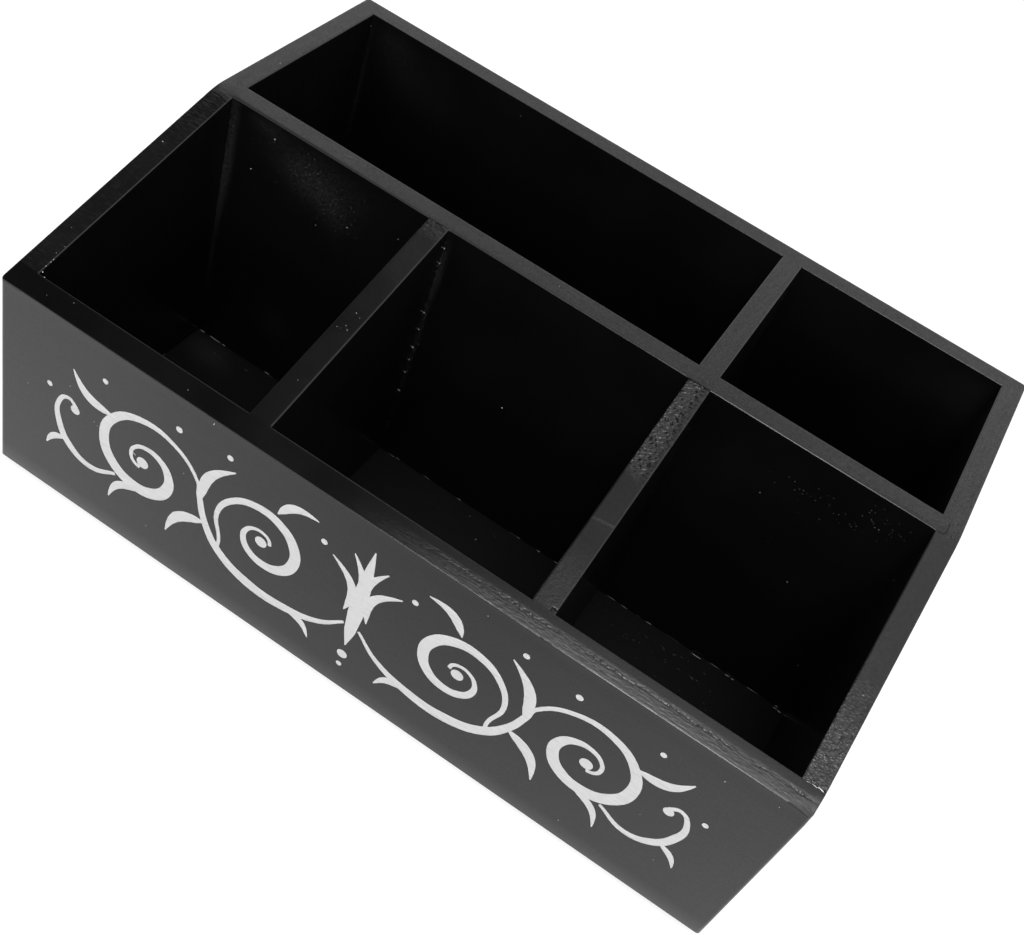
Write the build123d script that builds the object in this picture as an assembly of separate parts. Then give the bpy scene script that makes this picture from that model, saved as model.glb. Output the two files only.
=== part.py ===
from build123d import *
import math
import os

# A coffee station organizer: a painted wooden box of five open compartments, low in front
# and high at the back. It is glued and pinned from thin boards, cut to its slope and sanded
# as one box, and stands on a base board that is set back out of sight.
# Millimetres, X to the right, Y to the back, Z up. The origin is on the table under the
# middle of the box.

# Outside of the walls
box_width = 300.0
box_depth = 201.0
back_height = 116.0
front_height = 87.0

# Boards, with their paint
wall_thickness = 8.2
divider_thickness = 8.4
base_thickness = 3.0
base_setback = 3.0

# Clear sizes of the compartments
front_row_depth = 94.4
left_bay_width = 84.8
right_bay_width = 85.0

# The level rim starts this far behind the centre divider's front face, and the kink is
# rounded over this much of the slope and as much of the level rim
slope_setback = 1.0
kink_ease = 0.5

# Sanded edges and corners
mouth_ease = 0.5
rim_ease = 0.6
foot_ease = 0.5
post_ease = 0.9
base_corner_radius = 2.0
base_ease = 0.4

# The centre divider is housed in a dado that is routed in each side panel
dado_depth = 3.4
dado_corner_radius = 1.2

# Brad nails with a T-shaped head and a point, the heads in the walls set under filler
brad_width = 1.25
brad_gauge = 1.0
brad_head_width = 1.9
brad_head_height = 0.7
brad_point_length = 2.0
brad_set_depth = 1.0
wall_brad_length = 20.0
base_brad_length = 14.0
wall_brad_height_shares = (0.2, 0.5, 0.8)
divider_brad_height_shares = (0.25, 0.65)
base_brad_width_shares = (0.14, 0.38, 0.62, 0.86)
base_brad_depth_shares = (0.22, 0.5, 0.78)

# Cuts run past the wood by the overrun, and an edge this near a plane lies on it
overrun = 5.0
match = 0.01

# Planes that the boards share
left = -box_width / 2
right = box_width / 2
front = -box_depth / 2
back = box_depth / 2
foot = base_thickness
front_top = foot + front_height
back_top = foot + back_height
inner_left = left + wall_thickness
inner_right = right - wall_thickness
inner_front = front + wall_thickness
inner_back = back - wall_thickness
centre_front = inner_front + front_row_depth
centre_back = centre_front + divider_thickness
left_divider_start = inner_left + left_bay_width
left_divider_end = left_divider_start + divider_thickness
right_divider_end = inner_right - right_bay_width
right_divider_start = right_divider_end - divider_thickness
kink = centre_front + slope_setback
slope_angle = math.atan2(back_top - front_top, kink - front)


def block(x_span, y_span, z_span):
    """A box between two corners, given as its spans."""
    size = [end - start for start, end in (x_span, y_span, z_span)]
    corner = (Align.MIN, Align.MIN, Align.MIN)
    return Pos(x_span[0], y_span[0], z_span[0]) * Box(*size, align=corner)


def column(x_span, y_span):
    """A box that is taller than the walls, to cut them or to part one board from the rest."""
    return block(x_span, y_span, (foot - overrun, back_top + overrun))


def edges_where(solid, test):
    """The edges whose ends and middle all pass a test."""
    def passes(edge):
        return all(test(edge.position_at(place)) for place in (0, 0.5, 1))
    return [edge for edge in solid.edges() if passes(edge)]


def on_rim(point):
    """True near the sloping or level top of the walls."""
    slope_height = front_top + (point.Y - front) * math.tan(slope_angle)
    return abs(point.Z - min(slope_height, back_top)) < mouth_ease / 2


def on_outside(point):
    """True at the outer faces of the walls and at their rounded posts."""
    return abs(point.X) > right - post_ease - match or abs(point.Y) > back - post_ease - match


# The walls as one block, cut to its slope
uphill = (math.cos(slope_angle), math.sin(slope_angle))
kink_start = (kink - kink_ease * uphill[0], back_top - kink_ease * uphill[1])
kink_end = (kink + kink_ease, back_top)
walls_outline = Polyline(
    kink_end,
    (back, back_top),
    (back, foot),
    (front, foot),
    (front, front_top),
    kink_start,
)
walls_outline += TangentArc(kink_start, kink_end, tangent=uphill)
shell = extrude(Plane.YZ * make_face(walls_outline), right, both=True)

# The five compartments, three in front and two behind
front_row = [
    (inner_left, left_divider_start),
    (left_divider_end, right_divider_start),
    (right_divider_end, inner_right),
]
back_row = [
    (inner_left, right_divider_start),
    (right_divider_end, inner_right),
]
mouths = [(x_span, (inner_front, centre_front)) for x_span in front_row]
mouths += [(x_span, (centre_back, inner_back)) for x_span in back_row]
for x_span, y_span in mouths:
    shell -= column(x_span, y_span)

# Sanding: the mouths of the compartments, the posts, the outer rim and the foot
for x_span, y_span in mouths:
    def at_mouth(point):
        inside_x = x_span[0] - match < point.X < x_span[1] + match
        inside_y = y_span[0] - match < point.Y < y_span[1] + match
        return inside_x and inside_y and on_rim(point)
    shell = fillet(edges_where(shell, at_mouth), mouth_ease)


def at_post(point):
    return abs(abs(point.X) - right) < match and abs(abs(point.Y) - back) < match


def at_outer_rim(point):
    return on_outside(point) and on_rim(point)


def at_outer_foot(point):
    return on_outside(point) and abs(point.Z - foot) < match


shell = fillet(edges_where(shell, at_post), post_ease)
shell = fillet(edges_where(shell, at_outer_rim), rim_ease)
shell = fillet(edges_where(shell, at_outer_foot), foot_ease)

# Where each board lies: the front and back panels cover the ends of the side panels, and
# the small dividers butt against the boards that they run between
across = (left - overrun, right + overrun)
between_panels = (inner_front, inner_back)
centre_span = (centre_front, centre_back)
front_span = (inner_front, centre_front)
back_span = (centre_back, inner_back)
left_divider_span = (left_divider_start, left_divider_end)
right_divider_span = (right_divider_start, right_divider_end)
housed = column((inner_left - dado_depth, inner_right + dado_depth), centre_span)
housed = fillet(housed.edges().filter_by(Axis.Z), dado_corner_radius)
boards = {
    "front_panel": shell & column(across, (front - overrun, inner_front)),
    "back_panel": shell & column(across, (inner_back, back + overrun)),
    "left_side_panel": (shell & column((left - overrun, inner_left), between_panels)) - housed,
    "right_side_panel": (shell & column((inner_right, right + overrun), between_panels)) - housed,
    "centre_divider": shell & housed,
    "front_left_divider": shell & column(left_divider_span, front_span),
    "front_right_divider": shell & column(right_divider_span, front_span),
    "rear_cross_divider": shell & column(right_divider_span, back_span),
}

# The base board, under the walls and a little smaller than they are
base = block(
    (left + base_setback, right - base_setback),
    (front + base_setback, back - base_setback),
    (0, base_thickness),
)
base = fillet(base.edges().filter_by(Axis.Z), base_corner_radius)
base_faces = base.faces().sort_by(Axis.Z)
base = fillet(base_faces[0].edges() + base_faces[-1].edges(), base_ease)
boards["base_board"] = base


def brad(length):
    """A brad that points up, with the top of its head at the origin."""
    head = brad_head_width / 2
    shank = brad_width / 2
    outline = Polyline(
        (-head, 0),
        (head, 0),
        (head, brad_head_height),
        (shank, brad_head_height),
        (shank, length - brad_point_length),
        (0, length),
        (-shank, length - brad_point_length),
        (-shank, brad_head_height),
        (-head, brad_head_height),
        close=True,
    )
    return extrude(make_face(Plane.XZ * outline), brad_gauge / 2, both=True)


def pin(group, through, into, points, way, grain):
    """Drives brads through one board into another, each in a hole of its own shape."""
    nail = brad(base_brad_length if through == "base_board" else wall_brad_length)
    for point in points:
        placed = Plane(origin=point, x_dir=grain, z_dir=way) * nail
        boards[through] -= placed
        boards[into] -= placed
        group.append(placed)


# Brads in the walls, driven from outside, or from the back row into the small dividers
wall_brads = []
left_middle = left + wall_thickness / 2
right_middle = right - wall_thickness / 2
centre_middle = centre_front + divider_thickness / 2
left_divider_middle = left_divider_start + divider_thickness / 2
right_divider_middle = right_divider_start + divider_thickness / 2
front_set = front + brad_set_depth
back_set = back - brad_set_depth
low_heights = [foot + share * front_height for share in wall_brad_height_shares]
high_heights = [foot + share * back_height for share in wall_brad_height_shares]
low_pairs = [foot + share * front_height for share in divider_brad_height_shares]
high_pairs = [foot + share * back_height for share in divider_brad_height_shares]
to_back = (0, 1, 0)
to_front = (0, -1, 0)
to_right = (1, 0, 0)
to_left = (-1, 0, 0)
upward = (0, 0, 1)
ends = [
    ("left_side_panel", left_middle),
    ("right_side_panel", right_middle),
]
for board, x in ends:
    pin(wall_brads, "front_panel", board, [(x, front_set, z) for z in low_heights], to_back, to_right)
    pin(wall_brads, "back_panel", board, [(x, back_set, z) for z in high_heights], to_front, to_right)
front_dividers = [
    ("front_left_divider", left_divider_middle),
    ("front_right_divider", right_divider_middle),
]
for board, x in front_dividers:
    rear_set = centre_back - brad_set_depth
    pin(wall_brads, "front_panel", board, [(x, front_set, z) for z in low_pairs], to_back, to_right)
    pin(wall_brads, "centre_divider", board, [(x, rear_set, z) for z in high_pairs], to_front, to_right)
cross_points = [(right_divider_middle, back_set, z) for z in high_pairs]
pin(wall_brads, "back_panel", "rear_cross_divider", cross_points, to_front, to_right)
sides = [
    ("left_side_panel", left + brad_set_depth, to_right),
    ("right_side_panel", right - brad_set_depth, to_left),
]
for board, x, way in sides:
    points = [(x, centre_middle, z) for z in high_heights]
    pin(wall_brads, board, "centre_divider", points, way, to_back)

# Brads in the base board, driven up into the walls with their heads flush, in the middle
# of what each wall stands on
base_brads = []
bearing_middle = (base_setback + wall_thickness) / 2
x_places = [left + share * box_width for share in base_brad_width_shares]
y_places = [front + share * box_depth for share in base_brad_depth_shares]
long_boards = [
    ("front_panel", front + bearing_middle),
    ("centre_divider", centre_middle),
    ("back_panel", back - bearing_middle),
]
side_boards = [
    ("left_side_panel", left + bearing_middle),
    ("right_side_panel", right - bearing_middle),
]
for board, y in long_boards:
    pin(base_brads, "base_board", board, [(x, y, 0) for x in x_places], upward, to_right)
for board, x in side_boards:
    pin(base_brads, "base_board", board, [(x, y, 0) for y in y_places], upward, to_back)

os.makedirs("parts", exist_ok=True)
for name, board in boards.items():
    export_step(board, f"parts/{name}.step")
export_step(Compound(children=wall_brads), "parts/wall_brads.step")
export_step(Compound(children=base_brads), "parts/base_brads.step")
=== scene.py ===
import math
import random
import bpy
import bmesh
from mathutils import Matrix, Vector, noise


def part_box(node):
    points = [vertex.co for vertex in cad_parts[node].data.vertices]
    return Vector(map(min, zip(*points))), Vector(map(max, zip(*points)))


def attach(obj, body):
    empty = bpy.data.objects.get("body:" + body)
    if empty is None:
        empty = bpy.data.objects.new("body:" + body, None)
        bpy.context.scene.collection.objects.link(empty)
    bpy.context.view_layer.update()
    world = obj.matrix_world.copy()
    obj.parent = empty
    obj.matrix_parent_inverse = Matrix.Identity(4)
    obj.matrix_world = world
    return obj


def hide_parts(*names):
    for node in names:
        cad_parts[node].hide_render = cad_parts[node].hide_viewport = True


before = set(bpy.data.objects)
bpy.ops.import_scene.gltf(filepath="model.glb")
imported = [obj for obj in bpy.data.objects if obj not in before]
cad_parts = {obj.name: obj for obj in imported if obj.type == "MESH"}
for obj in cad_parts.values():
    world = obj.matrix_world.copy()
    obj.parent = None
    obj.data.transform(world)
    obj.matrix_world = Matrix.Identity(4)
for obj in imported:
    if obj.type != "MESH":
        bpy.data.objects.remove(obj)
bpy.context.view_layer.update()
print("organizer: packed boards loaded")

# Everything is modelled in millimetres and brought to metres when a piece is made
perMetre = 1000.0
up = Vector((0, 0, 1))
sameWithin = 0.01  # places this near each other are the same
justOff = 0.05  # how far off a face isShown looks
sharpFrom = math.radians(35)  # an edge that turns more than this stays sharp


def smooth(value, start, end):  # 0 before start, 1 after end, eased between
    share = min(max((value - start) / (end - start), 0.0), 1.0)
    return share * share * (3 - 2 * share)


def grain(x, y, z, spreadX, spreadY, spreadZ, seed):  # soft noise with its own length each way
    return noise.noise(Vector((x / spreadX, y / spreadY, z / spreadZ + seed)))


camera = {
    "place": (0.0839, -0.3420, 0.4009),
    "aim": (0.0104, -0.0210, 0.0600),
    "roll": 23.41,  # degrees
    "lens": 46.63,
    "sensor": 36.0,
    "nearest": 0.01,
}


def setCamera():
    data = bpy.data.cameras.new("photoCamera")
    data.lens = camera["lens"]
    data.sensor_width = camera["sensor"]
    data.sensor_fit = "HORIZONTAL"
    data.clip_start = camera["nearest"]
    eye = bpy.data.objects.new("photoCamera", data)
    bpy.context.scene.collection.objects.link(eye)
    place = Vector(camera["place"])
    look = (Vector(camera["aim"]) - place).to_track_quat("-Z", "Y").to_matrix().to_4x4()
    roll = Matrix.Rotation(math.radians(camera["roll"]), 4, "Z")
    eye.matrix_world = Matrix.Translation(place) @ look @ roll
    bpy.context.scene.camera = eye


def addNode(tree, kind, **settings):
    node = tree.nodes.new(kind)
    for name, value in settings.items():
        setattr(node, name, value)
    return node


def mapped(tree, spread, middle=(0, 0, 0)):  # object coordinates from a middle, in a pattern's spreads
    where = addNode(tree, "ShaderNodeTexCoord")
    stretch = addNode(tree, "ShaderNodeMapping")
    stretch.inputs["Scale"].default_value = [perMetre / size for size in spread]
    stretch.inputs["Location"].default_value = [-place / size for place, size in zip(middle, spread)]
    tree.links.new(where.outputs["Object"], stretch.inputs["Vector"])
    return stretch.outputs["Vector"]


def noiseOn(tree, spread, detail=3.0, rough=0.5):
    pattern = addNode(tree, "ShaderNodeTexNoise")
    pattern.inputs["Scale"].default_value = 1.0
    pattern.inputs["Detail"].default_value = detail
    pattern.inputs["Roughness"].default_value = rough
    tree.links.new(mapped(tree, spread), pattern.inputs["Vector"])
    return pattern.outputs["Fac"]


def ranged(tree, value, low, high, toLow, toHigh):
    fit = addNode(tree, "ShaderNodeMapRange")
    for name, number in (("From Min", low), ("From Max", high), ("To Min", toLow), ("To Max", toHigh)):
        fit.inputs[name].default_value = number
    tree.links.new(value, fit.inputs["Value"])
    return fit.outputs["Result"]


def sums(tree, kind, first, second):
    node = addNode(tree, "ShaderNodeMath", operation=kind)
    for socket, value in zip(node.inputs, (first, second)):
        if isinstance(value, (int, float)):
            socket.default_value = value
        else:
            tree.links.new(value, socket)
    return node.outputs[0]


def greyBetween(tree, shader, factor, dark, light):  # the shader's colour goes from one grey to another
    mix = addNode(tree, "ShaderNodeMix", data_type="RGBA")
    tree.links.new(factor, mix.inputs["Factor"])
    mix.inputs[6].default_value = (dark, dark, dark, 1)
    mix.inputs[7].default_value = (light, light, light, 1)
    tree.links.new(mix.outputs[2], shader.inputs["Base Color"])


def plus(tree, first, second):
    return sums(tree, "ADD", first, second)


def times(tree, first, second):
    return sums(tree, "MULTIPLY", first, second)


def bumped(tree, shader, height, depth):  # height from 0 to 1 stands for a depth in millimetres
    bump = addNode(tree, "ShaderNodeBump")
    bump.inputs["Strength"].default_value = 1.0
    bump.inputs["Distance"].default_value = depth / perMetre
    tree.links.new(height, bump.inputs["Height"])
    tree.links.new(bump.outputs["Normal"], shader.inputs["Normal"])


room = {
    "white": 1.0,  # brightness of the white room around the object
    "lights": [  # towards, degrees from its middle where it starts and ends to fade, brightness added
        ((0.16, -0.32, 0.93), 6.0, 26.0, 1.5),
        ((0.05, -0.48, 0.87), 3.0, 8.0, 7.0),
        ((0.075, -0.82, 0.573), 5.0, 8.5, 9.0),
        ((0.03, -0.935, 0.34), 5.0, 9.0, 17.0),
    ],
    "flags": [  # black flags: towards, where they start and end to fade, share of the light they take
        ((-0.42, 0.08, 0.90), 14.0, 20.0, 1.0),
        ((-0.78, 0.20, 0.60), 16.0, 30.0, 0.85),
        ((-0.12, 0.81, 0.57), 4.0, 17.0, 0.24),
        ((-0.42, 0.73, 0.54), 4.0, 14.0, 0.13),
        ((-0.10, 0.25, 0.96), 3.0, 7.5, 0.62),
    ],
}


def spotMask(tree, direction, towards, heart, rim):  # 1 round a direction of the room, 0 away from it
    dot = addNode(tree, "ShaderNodeVectorMath", operation="DOT_PRODUCT")
    dot.inputs[1].default_value = Vector(towards).normalized()
    tree.links.new(direction, dot.inputs[0])
    fade = addNode(tree, "ShaderNodeMapRange", interpolation_type="SMOOTHSTEP")
    fade.inputs["From Min"].default_value = math.cos(math.radians(rim))
    fade.inputs["From Max"].default_value = math.cos(math.radians(heart))
    tree.links.new(dot.outputs["Value"], fade.inputs["Value"])
    return fade.outputs["Result"]


def setRoom():
    world = bpy.data.worlds.new("whiteRoom")
    bpy.context.scene.world = world
    world.use_nodes = True
    tree = world.node_tree
    tree.nodes.clear()
    out = addNode(tree, "ShaderNodeOutputWorld")
    seen = addNode(tree, "ShaderNodeBackground")  # what the camera sees
    lit = addNode(tree, "ShaderNodeBackground")  # what lights the object
    mixer = addNode(tree, "ShaderNodeMixShader")
    path = addNode(tree, "ShaderNodeLightPath")
    seen.inputs["Color"].default_value = (1, 1, 1, 1)
    lit.inputs["Color"].default_value = (1, 1, 1, 1)
    where = addNode(tree, "ShaderNodeTexCoord").outputs["Generated"]
    level = room["white"]
    for towards, heart, rim, gain in room["lights"]:
        mask = spotMask(tree, where, towards, heart, rim)
        level = plus(tree, level, times(tree, mask, gain))
    for towards, heart, rim, share in room["flags"]:
        mask = spotMask(tree, where, towards, heart, rim)
        level = times(tree, level, sums(tree, "SUBTRACT", 1.0, times(tree, mask, share)))
    tree.links.new(level, lit.inputs["Strength"])
    tree.links.new(path.outputs["Is Camera Ray"], mixer.inputs["Fac"])
    tree.links.new(lit.outputs[0], mixer.inputs[1])
    tree.links.new(seen.outputs[0], mixer.inputs[2])
    tree.links.new(mixer.outputs[0], out.inputs["Surface"])


floorLook = {
    "size": 6.0,
    "grey": 0.35,
    "roughness": 0.9,
    "glow": 0.72,  # added for the camera and for reflections, so the floor reads white
    "dimMiddle": (10.0, -190.0, 0.0),  # millimetres, where reflections see it a little dimmer
    "dimReach": 160.0,
    "dimShare": 0.5,
}


def newMaterial(name, color, roughness, ior=1.5):
    made = bpy.data.materials.new(name)
    made.use_nodes = True
    tree = made.node_tree
    shader = next(node for node in tree.nodes if node.type == "BSDF_PRINCIPLED")
    shader.inputs["Base Color"].default_value = (*color, 1)
    shader.inputs["Roughness"].default_value = roughness
    shader.inputs["IOR"].default_value = ior
    return made, tree, shader


def setFloor():
    bm = bmesh.new()
    bmesh.ops.create_grid(bm, x_segments=1, y_segments=1, size=floorLook["size"])
    mesh = bpy.data.meshes.new("floor")
    bm.to_mesh(mesh)
    bm.free()
    floor = bpy.data.objects.new("floor", mesh)
    bpy.context.scene.collection.objects.link(floor)
    pale, tree, shader = newMaterial("paleFloor", (floorLook["grey"],) * 3, floorLook["roughness"])
    shader.inputs["Specular IOR Level"].default_value = 0
    shader.inputs["Emission Color"].default_value = (1, 1, 1, 1)
    path = addNode(tree, "ShaderNodeLightPath")
    pool = addNode(tree, "ShaderNodeTexGradient", gradient_type="SPHERICAL")
    reach = (floorLook["dimReach"],) * 3
    tree.links.new(mapped(tree, reach, floorLook["dimMiddle"]), pool.inputs["Vector"])
    dim = ranged(tree, pool.outputs["Fac"], 0, 1, 1, 1 - floorLook["dimShare"])
    mirrored = times(tree, path.outputs["Is Glossy Ray"], dim)
    seen = sums(tree, "MAXIMUM", path.outputs["Is Camera Ray"], mirrored)
    tree.links.new(times(tree, seen, floorLook["glow"]), shader.inputs["Emission Strength"])
    mesh.materials.append(pale)


setCamera()
setRoom()
setFloor()
bpy.context.scene.view_settings.view_transform = "Standard"
print("organizer: camera, room and floor set")


# The box's own planes, as its packed boards have them
box = {
    "left": -150.0,
    "right": 150.0,
    "front": -100.5,
    "back": 100.5,
    "foot": 3.0,
    "frontTop": 90.0,
    "backTop": 119.0,
    "kink": 3.1,  # where the slope meets the level rim
    "kinkEase": 4.6,  # the kink is rounded over this much to each side, on the side panels
    "kinkSharp": 0.8,  # and between them
    "kinkFacets": (9, 3),  # in the eased kink and in the sharp one
    "wall": 8.2,
    "housing": 3.4,  # how far the centre divider is let into the side panels
    "housingCorner": 1.2,
    "rimEase": 0.42,
    "rimThin": 0.12,  # the inner edge of the back panel is hardly sanded
    "rimFlat": {"front_panel": 0.20, "centre_divider": 0.17},  # long edges that were sanded flat
    "postEase": 1.4,
    "facets": 4,  # round a post, or a corner of a dado
    "outerBand": 1.2,  # an edge this near the outside belongs to it
    "rimBand": 0.6,  # and one this little under the rim is on it
    "edgeBand": 0.4,
    "wornCorner": (150.0, -100.5),  # a top corner that is rubbed round
    "wornReach": 7.0,
    "wornDown": 9.0,
    "wornBy": (-0.3, 0.3, -1.6),
    "baseInset": 3.0,
}
slope = math.atan2(box["backTop"] - box["frontTop"], box["kink"] - box["front"])
slopeNormal = Vector((0, -math.sin(slope), math.cos(slope)))
slopePoint = Vector((0, box["front"], box["frontTop"]))


def spanOf(node):  # a packed board's lowest and highest corners in millimetres
    low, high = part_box(node)
    return [(round(low[i] * perMetre, 2), round(high[i] * perMetre, 2)) for i in range(3)]


spans = {name: spanOf(name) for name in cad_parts}
innerFront = box["front"] + box["wall"]
innerBack = box["back"] - box["wall"]
innerLeft = box["left"] + box["wall"]
innerRight = box["right"] - box["wall"]
centreFront, centreBack = spans["centre_divider"][1]
leftStart, leftEnd = spans["front_left_divider"][0]
rightStart, rightEnd = spans["front_right_divider"][0]
bays = [
    ((innerLeft, leftStart), (innerFront, centreFront)),
    ((leftEnd, rightStart), (innerFront, centreFront)),
    ((rightEnd, innerRight), (innerFront, centreFront)),
    ((innerLeft, rightStart), (centreBack, innerBack)),
    ((rightEnd, innerRight), (centreBack, innerBack)),
]


def rimHeight(y, x=0.0):
    ease = box["kinkEase"] if abs(x) > innerRight else box["kinkSharp"]
    if box["kink"] - ease * math.cos(slope) < y < box["kink"] + ease:
        radius = ease / math.tan(slope / 2)
        off = box["kink"] + ease - y
        return box["backTop"] - radius + math.sqrt(radius * radius - off * off)
    return min(box["frontTop"] + (y - box["front"]) * math.tan(slope), box["backTop"])


def inWood(point):  # whether a point lies in the box's walls, dividers or base
    x, y, z = point
    if z < box["foot"]:
        inset = box["baseInset"]
        return abs(x) < box["right"] - inset and abs(y) < box["back"] - inset
    if abs(x) > box["right"] or abs(y) > box["back"] or z > rimHeight(y, x):
        return False
    ease = box["postEase"]
    pastX, pastY = abs(x) - box["right"] + ease, abs(y) - box["back"] + ease
    if min(pastX, pastY) > 0 and math.hypot(pastX, pastY) > ease:
        return False
    return not any(x0 < x < x1 and y0 < y < y1 for (x0, x1), (y0, y1) in bays)


def isShown(face):  # False for a face that another board covers
    return not inWood(face.calc_center_median() + face.normal * justOff)


def everything(bm):
    return bm.verts[:] + bm.edges[:] + bm.faces[:]


def around(faces):  # the faces with their edges and corners
    found = set(faces)
    for face in faces:
        found.update(face.edges)
        found.update(face.verts)
    return list(found)


def cutAt(bm, point, normal, faces=None, clear=False):
    geometry = everything(bm) if faces is None else around(faces)
    cut = bmesh.ops.bisect_plane(
        bm, geom=geometry, dist=1e-5, plane_co=point, plane_no=normal, clear_outer=clear
    )
    if clear:
        rim = [piece for piece in cut["geom_cut"] if isinstance(piece, bmesh.types.BMEdge)]
        if rim:
            bmesh.ops.contextual_create(bm, geom=rim)
    return [piece for piece in cut["geom"] if isinstance(piece, bmesh.types.BMFace)]


def wayOf(axis):
    return Vector([1.0 if i == axis else 0.0 for i in range(3)])


def isUpright(edge):
    a, b = (vert.co for vert in edge.verts)
    return abs(a.x - b.x) < sameWithin and abs(a.y - b.y) < sameWithin


def roundOff(bm, edges, ease, facets):
    bmesh.ops.bevel(
        bm, geom=edges, offset=ease, segments=facets, affect="EDGES", profile=0.5, material=-1
    )


def sliceAlong(bm, faces, axis, places):  # cuts faces at many places, going up the axis
    normal = wayOf(axis)
    ahead = list(faces)
    for place in places:
        if not ahead:
            break
        pieces = cutAt(bm, normal * place, normal, ahead)
        ahead = [face for face in pieces if face.calc_center_median()[axis] > place]


def steps(start, end, pitch):
    count = max(int(round((end - start) / pitch)), 1)
    return [start + (end - start) * i / count for i in range(1, count)]


def block(span):
    bm = bmesh.new()
    bmesh.ops.create_cube(bm, size=1)
    low, high = Vector([s[0] for s in span]), Vector([s[1] for s in span])
    bmesh.ops.scale(bm, vec=high - low, verts=bm.verts)
    bmesh.ops.translate(bm, vec=(low + high) / 2, verts=bm.verts)
    return bm


def cutHousing(bm, innerX, side):  # the routed dado that takes the centre divider's end
    deepX = innerX + side * box["housing"]
    for axis, place in ((0, deepX), (1, centreFront), (1, centreBack)):
        cutAt(bm, wayOf(axis) * place, wayOf(axis))
    doomed = []
    for face in bm.faces:
        middle = face.calc_center_median()
        if centreFront < middle.y < centreBack and (middle.x - deepX) * side < 0:
            doomed.append(face)
    bmesh.ops.delete(bm, geom=doomed, context="FACES")
    corners = {}
    for vert in bm.verts:
        if abs(vert.co.x - deepX) < sameWithin and vert.is_boundary:
            corners.setdefault(round(vert.co.y, 2), []).append(vert)
    posts = []
    for pair in corners.values():
        posts += bmesh.ops.contextual_create(bm, geom=pair)["edges"]
    gaps = [edge for edge in bm.edges if edge.is_boundary or edge.is_wire]
    bmesh.ops.edgenet_fill(bm, edges=gaps)
    roundOff(bm, posts, box["housingCorner"], box["facets"])


def roundHousedEnds(bm):  # the centre divider's ends match their dadoes
    posts = [edge for edge in bm.edges if isUpright(edge)]
    roundOff(bm, posts, box["housingCorner"], box["facets"])


def cutTop(bm, ease):  # the slope, and the kink in a few narrow facets
    facets = box["kinkFacets"][0 if ease > box["kinkSharp"] else 1]
    radius = ease / math.tan(slope / 2)
    middle = Vector((0, box["kink"] + ease, box["backTop"] - radius))
    for i in range(facets, 0, -1):
        turn = slope * i / facets
        facing = Vector((0, -math.sin(turn), math.cos(turn)))
        cutAt(bm, middle + facing * radius, facing, clear=True)


joints = {  # places along X of each long board where another board meets it
    "front_panel": (innerLeft, leftStart, leftEnd, rightStart, rightEnd, innerRight),
    "back_panel": (innerLeft, rightStart, rightEnd, innerRight),
    "centre_divider": (innerLeft, leftStart, leftEnd, rightStart, rightEnd, innerRight),
}


def isOutside(point):
    band = box["outerBand"]
    return abs(point.x) > box["right"] - band or abs(point.y) > box["back"] - band


def isPost(edge):  # an upright corner of the box
    a = edge.verts[0].co
    offX, offY = abs(abs(a.x) - box["right"]), abs(abs(a.y) - box["back"])
    return isUpright(edge) and offX < sameWithin and offY < sameWithin


def easingOf(edge):  # which kind of sanding an edge gets
    a, b = (vert.co for vert in edge.verts)
    middle = (a + b) / 2
    onTop = middle.z > rimHeight(middle.y, middle.x) - box["rimBand"]
    atFoot = middle.z < box["foot"] + sameWithin and isOutside(middle)
    if not atFoot and not (onTop and all(isShown(face) for face in edge.link_faces)):
        return "none"
    if onTop and abs(a.y - b.y) < sameWithin and abs(a.z - b.z) < sameWithin:
        if min(abs(middle.y - box["front"]), abs(middle.y - centreFront)) < box["edgeBand"]:
            return "flat"
        if abs(middle.y - innerBack) < box["edgeBand"]:
            return "thin"
    return "round"


def easeEdges(bm, flatEase):  # sanded posts, rims and foot
    posts = [edge for edge in bm.edges if isPost(edge)]
    if posts:
        roundOff(bm, posts, box["postEase"], box["facets"])
    kinds = [  # kind, ease, facets, least angle between the faces in degrees
        ("flat", flatEase, 1, 35),
        ("thin", box["rimThin"], 1, 35),
        ("round", box["rimEase"], 3, 40),
    ]
    for kind, ease, facets, least in kinds:
        sanded = []
        for edge in bm.edges:
            paired = len(edge.link_faces) == 2
            if paired and edge.calc_face_angle(0) >= math.radians(least) and easingOf(edge) == kind:
                sanded.append(edge)
        roundOff(bm, sanded, ease, facets)


def makePiece(name, bm, slot, *materials):  # a bmesh in millimetres becomes a piece of the box
    bmesh.ops.scale(bm, vec=(1 / perMetre,) * 3, verts=bm.verts)
    mesh = bpy.data.meshes.new(name)
    bm.to_mesh(mesh)
    bm.free()
    for each in materials:
        mesh.materials.append(each)
    mesh.shade_smooth()
    mesh.set_sharp_from_angle(angle=sharpFrom)
    piece = bpy.data.objects.new(name, mesh)
    bpy.context.scene.collection.objects.link(piece)
    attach(piece, "root")
    return piece


# Each relief says how far the surface dips below its plane, and how much its paint is worn
def grains(x, y, rows):  # soft noises added up: share, length along X and along Y, seed
    return sum(share * grain(x, y, 0, spreadX, spreadY, 1, seed) for share, spreadX, spreadY, seed in rows)


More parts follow.
